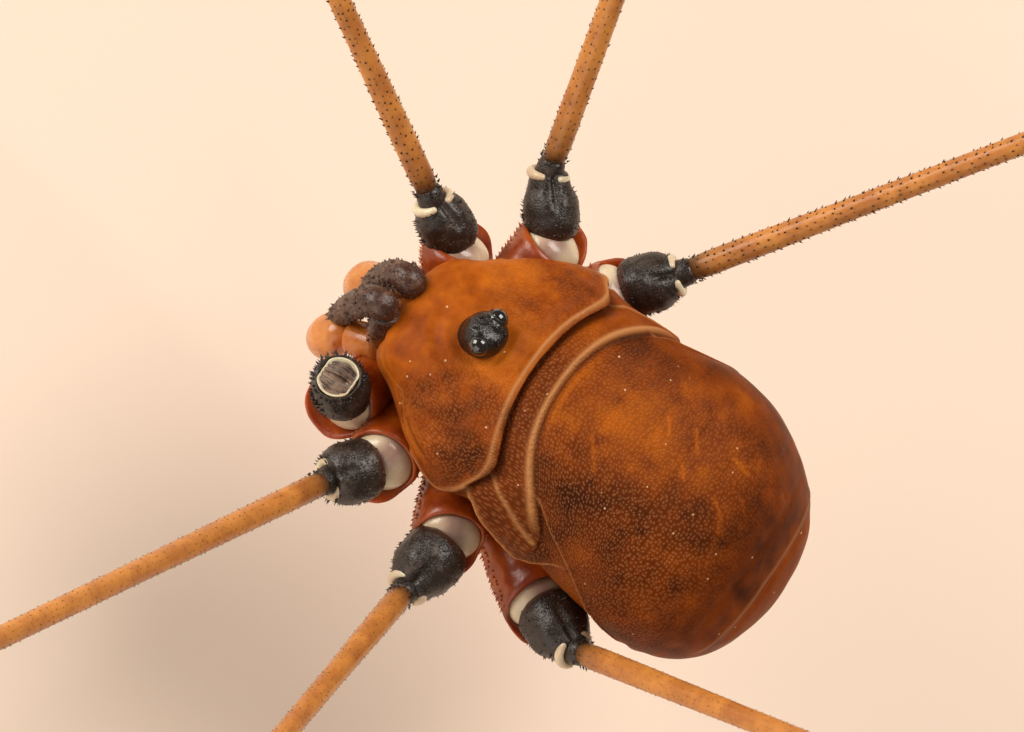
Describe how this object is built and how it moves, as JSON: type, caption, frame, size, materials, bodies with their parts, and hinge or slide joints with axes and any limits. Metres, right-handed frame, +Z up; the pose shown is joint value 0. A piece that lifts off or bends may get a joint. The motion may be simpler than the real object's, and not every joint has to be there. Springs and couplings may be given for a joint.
{
  "type": "harvestman",
  "caption": "Life-size still harvestman: rounded orange-brown body, black eye mound and leg barrels, long thin tan legs raised at the knees and resting on their tips.",
  "frame": {"origin": "on the floor under the middle of the outline of the whole animal, legs included", "axes": "+Z up, the head looks along -Y, the animal's left is +X"},
  "size_m": [0.1008, 0.0704, 0.015],
  "materials": {
    "orange_cuticle": "granular orange-brown cuticle",
    "hind_cuticle": "granular orange-brown cuticle with darker flecks",
    "coxa_cuticle": "glossy red-brown cuticle",
    "black_cuticle": "satin black cuticle",
    "mound_black": "granular black cuticle",
    "eye_black": "glossy black lens",
    "leg_tan": "orange-tan cuticle",
    "palp_brown": "dark brown granular cuticle",
    "mouth_amber": "amber, slightly see-through cuticle"
  },
  "bodies": {
    "root": {"abdomen": "hind_cuticle", "chelicera_base_left": "mouth_amber", "chelicera_base_right": "mouth_amber", "chelicera_hand_left": "mouth_amber", "chelicera_hand_right": "mouth_amber", "coxa_left_1": "coxa_cuticle", "coxa_left_2": "coxa_cuticle", "coxa_left_3": "coxa_cuticle", "coxa_left_4": "coxa_cuticle", "coxa_right_1": "coxa_cuticle", "coxa_right_2": "coxa_cuticle", "coxa_right_3": "coxa_cuticle", "coxa_right_4": "coxa_cuticle", "eye_left": "eye_black", "eye_mound": "mound_black", "eye_right": "eye_black", "femur_left_2": "leg_tan", "femur_left_3": "leg_tan", "femur_left_4": "leg_tan", "femur_right_1": "leg_tan", "femur_right_2": "leg_tan", "femur_right_3": "leg_tan", "metatarsus_left_2": "leg_tan", "metatarsus_left_3": "leg_tan", "metatarsus_left_4": "leg_tan", "metatarsus_right_1": "leg_tan", "metatarsus_right_2": "leg_tan", "metatarsus_right_3": "leg_tan", "palp_femur_left": "mouth_amber", "palp_femur_right": "mouth_amber", "palp_tip_left": "palp_brown", "palp_tip_right": "palp_brown", "patella_left_2": "leg_tan", "patella_left_3": "leg_tan", "patella_left_4": "leg_tan", "patella_right_1": "leg_tan", "patella_right_2": "leg_tan", "patella_right_3": "leg_tan", "prosoma": "orange_cuticle", "tarsus_left_2": "leg_tan", "tarsus_left_3": "leg_tan", "tarsus_left_4": "leg_tan", "tarsus_right_1": "leg_tan", "tarsus_right_2": "leg_tan", "tarsus_right_3": "leg_tan", "tibia_left_2": "leg_tan", "tibia_left_3": "leg_tan", "tibia_left_4": "leg_tan", "tibia_right_1": "leg_tan", "tibia_right_2": "leg_tan", "tibia_right_3": "leg_tan", "trochanter_left_1": "black_cuticle", "trochanter_left_2": "black_cuticle", "trochanter_left_3": "black_cuticle", "trochanter_left_4": "black_cuticle", "trochanter_right_1": "black_cuticle", "trochanter_right_2": "black_cuticle", "trochanter_right_3": "black_cuticle", "trochanter_right_4": "black_cuticle"}
  },
  "joints": []
}
